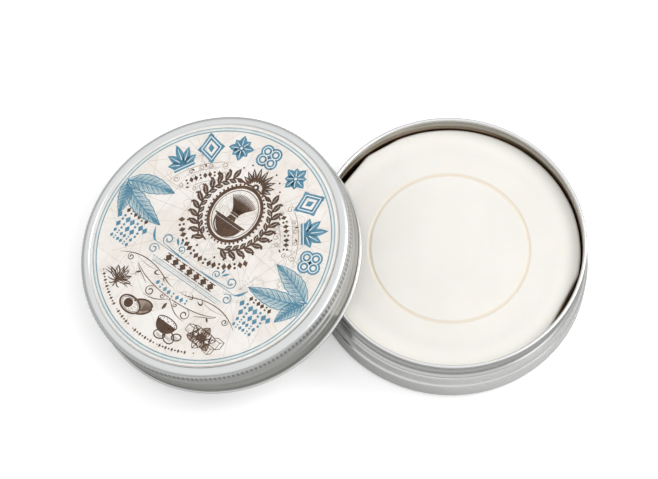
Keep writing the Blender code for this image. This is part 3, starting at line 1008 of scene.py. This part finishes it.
def lid_art(inks):
    """All the printing on the lid's label."""
    arts = [Print("label_print_" + name, inks[name], 48.0, LABEL_TOP + 0.004 * level)
            for level, name in enumerate(("faint", "pale", "grey", "paper", "blue", "brown", "inline"))]
    faint, pale, grey, paper, blue, brown, inline = arts
    draw_map(faint, 5, 35.2)
    draw_border(blue, pale)
    kinds = ("palmette", "lozenge", "rosette", "knot", "rosette", "lozenge", "palmette", "knot")
    for kind, angle in zip(kinds, (149, 131, 113.5, 96, 75, 57.5, 40, 22.5)):
        ornament(blue, inline, kind, angle)
    draw_wreath(brown, inline)
    draw_banner(blue, brown, pale)
    draw_flourish(brown, blue, grey)
    draw_side_scrolls(brown, grey)
    draw_leaves(blue, pale)
    draw_side_rows(blue, brown, (-25.3, -5.9), (24.2, -6.6))
    draw_tuft(brown, paper)
    draw_fruit(brown, grey, paper, inline)
    draw_seed_bowl(brown, paper, inline)
    draw_blossom(brown, grey, paper)
    draw_lower_arc(brown)
    for art in arts:
        art.make(LID_PLACE, "lid")


def base_art(inks):
    """Plain rows and a ring on the label under the tin."""
    blue, brown = (Print("base_print_" + name, inks[name], 90.0, PAPER_LOW.z + SKIN, -1.0)
                   for name in ("blue", "brown"))
    blue.ring(33.6, 0.4, count=192)
    blue.ring(32.6, 0.18, count=192)
    for k in range(11):
        y = 19.0 - 3.2 * k
        half = sqrt(max(0, 27.5 ** 2 - y * y)) * (0.95 if k % 3 else 0.7)
        lozenge_row(brown, [(-half, y), (half, y)], 1.1, 1.15)
    both(blue.line, curl(4.0, -20.5, 2.4, 90, 1.5), 0.4, (0.4, 1.2))
    blue.blob(petal(0, -24.5, 5.5, 2.2, radians(90)))
    for art in (blue, brown):
        art.make(TIN_PLACE, "tin")


# ---- scene

def build_pieces():
    """Every visible piece, on its body."""
    paper = cream_paper()
    inks = {"blue": print_ink("ink_blue", (0.045, 0.19, 0.30), (0.17, 0.36, 0.46)),
            "pale": print_ink("ink_pale_blue", (0.44, 0.56, 0.58), (0.66, 0.71, 0.69)),
            "brown": print_ink("ink_brown", (0.050, 0.020, 0.008), (0.16, 0.085, 0.045)),
            "grey": print_ink("ink_grey_brown", (0.26, 0.19, 0.14), (0.45, 0.37, 0.31)),
            "faint": print_ink("ink_faint", (0.40, 0.36, 0.32), (0.62, 0.575, 0.53)),
            "paper": paper,
            "inline": print_ink("ink_inline", (0.80, 0.83, 0.83), (0.70, 0.78, 0.80))}

    # painted shade on the tin's bead and threaded neck under the rim, and a painted highlight on the rim
    # above them
    tin_metal = spun_metal("tin_aluminium", (0.86, 0.865, 0.855),
                           ((12.9, 13.6, (0.62, 0.625, 0.615)), (14.2, 14.9, (0.56, 0.565, 0.555)),
                            (TIN_TOP - 0.5, TIN_TOP - 0.2, (0.80, 0.805, 0.80))), 0.25)
    # painted shade: the inside is dark brown below the soap's top, in the gap round the soap, and warm grey
    # above it
    tin_inside_painted_shade = spun_metal("tin_aluminium_inside_painted_shade", (0.36, 0.25, 0.155),
                            ((SOAP_TOP - 1.2, SOAP_TOP + 0.9, (0.47, 0.44, 0.39)),), 0.32)
    # painted highlight on the rolled rim, a near-black band of painted shade in the groove above it, and the
    # side painted darker than the top border: painted shade
    lid_metal = spun_metal("lid_aluminium", (0.76, 0.765, 0.755),
                           ((0.85, 1.1, (0.30, 0.30, 0.285)), (2.0, 2.9, (0.44, 0.435, 0.41)),
                            (4.5, 8.5, (0.56, 0.565, 0.56)),
                            (LID_TOP - 1.9, LID_TOP - 0.9, (0.735, 0.75, 0.75))), 0.30, knurled=True)
    verts, faces, inside = tin_mesh()
    tin = piece("tin_base_spun", verts, faces, TIN_PLACE, [tin_metal, tin_inside_painted_shade], "tin", "tin_metal",
                second=inside)
    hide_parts("tin_base")
    lid = piece("lid_shell_spun", *lid_mesh(), LID_PLACE, [lid_metal], "lid", "lid_metal")
    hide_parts("lid_shell")
    soap = piece("soap_puck_pressed", *soap_mesh(), TIN_PLACE, [cream_soap()], "puck", "soap", 60)
    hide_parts("soap_puck")
    liner = piece("lid_liner_foam", *liner_mesh(), LID_PLACE, [white_foam()], "liner", "liner_foam", 60)
    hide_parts("lid_liner")
    label = piece("lid_label_paper", *paper_mesh(LID_LABEL_R, LABEL_TOP, LABEL_TOP - 0.18),
                  LID_PLACE, [paper], "lid", "label_paper")
    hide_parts("lid_label")
    under = piece("base_label_paper", *paper_mesh(BASE_LABEL_R, PAPER_HIGH.z - SKIN, PAPER_LOW.z + SKIN),
                  TIN_PLACE, [paper], "tin", "label_paper")
    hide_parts("base_label")
    lid_art(inks)
    base_art(inks)


def build_stage():
    """Floor, sky and soft lights."""
    half = 2.5
    mesh = bpy.data.meshes.new("floor")
    corners = [(-half, -half, 0), (half, -half, 0), (half, half, 0), (-half, half, 0)]
    mesh.from_pydata(corners, [], [(0, 1, 2, 3)])
    mesh.materials.append(white_floor())
    floor = add("floor", mesh)

    world = bpy.data.worlds.new("studio")
    bpy.context.scene.world = world
    world.use_nodes = True
    sky = Nodes(world.node_tree)
    upward = sky.node("SeparateXYZ", [(0, sky.node("TexCoord").outputs["Generated"])]).outputs[2]
    colour = sky.mix(sky.ramp(upward, 0.0, 0.7), (0.36, 0.36, 0.355), (1.03, 1.03, 1.03))
    background = sky.tree.nodes["Background"]
    sky.put(background.inputs["Color"], colour)
    sky.put(background.inputs["Strength"], 0.98)

    for name, place, size, power in (("key", (0.38, 0.08, 0.42), 0.3, 1.05),
                                     ("front", (0.8, -0.5, 0.7), 0.7, 1.0)):
        light = bpy.data.lights.new(name, 'AREA')
        light.shape = 'DISK'
        light.size = size
        light.energy = power
        lamp = add(name, light)
        lamp.location = place
        lamp.rotation_euler = (-Vector(place)).to_track_quat('-Z', 'Y').to_euler()


def build_camera():
    """A long lens over the front of the tin, aimed at the point between the two halves."""
    elevation, azimuth, roll = radians(67.07), radians(-94.5), radians(2.21)
    distance, lens = 1.1184, 205.0
    aim = TIN_PLACE.translation + Vector((-0.0351, 0.0106, 0))
    data = bpy.data.cameras.new("camera")
    data.lens = lens
    data.sensor_width = 36.0
    data.clip_start, data.clip_end = 0.01, 20.0
    camera = add("camera", data)
    camera.matrix_world = (Matrix.Translation(aim) @ Matrix.Rotation(azimuth + pi / 2, 4, 'Z')
                           @ Matrix.Rotation(pi / 2 - elevation, 4, 'X') @ Matrix.Rotation(roll, 4, 'Z')
                           @ Matrix.Translation((0, 0, distance)))
    bpy.context.scene.camera = camera


build_pieces()
build_stage()
build_camera()
bpy.context.scene.view_settings.view_transform = 'Standard'
